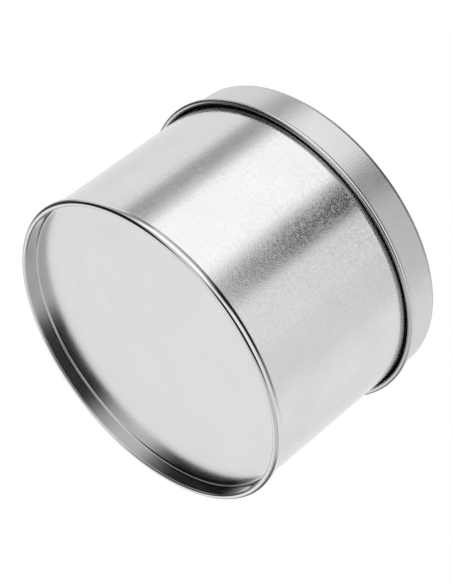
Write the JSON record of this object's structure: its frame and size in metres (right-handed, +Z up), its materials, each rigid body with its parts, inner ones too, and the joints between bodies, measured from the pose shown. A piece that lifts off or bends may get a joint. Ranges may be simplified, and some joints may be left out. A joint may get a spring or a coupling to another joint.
{
  "type": "candle tin",
  "caption": "Round slip-lid tin for poured candles: a seamed cylindrical body with a recessed base and a snug lid with a rolled edge that lifts off.",
  "frame": {"origin": "centre of the circle on which the base rim stands, on the tin's axis", "axes": "+Z up the tin's axis from the base rim to the lid; +Y towards the welded side seam at the back; +X to the right of someone who faces the side opposite the seam"},
  "size_m": [0.0796, 0.0796, 0.0547],
  "materials": {
    "body_tinplate": "satin",
    "base_tinplate": "satin",
    "lid_tinplate": "satin",
    "sealing_compound": "matte"
  },
  "bodies": {
    "tin": {"body_wall": "body_tinplate", "bottom_end": "base_tinplate", "seam_compound": "sealing_compound"},
    "lid": {"lid": "lid_tinplate"}
  },
  "joints": [
    {"name": "lid_lift", "type": "slide", "parent": "tin", "child": "lid", "axis": [0, 0, 1], "range_m": [0, 0.06]}
  ]
}
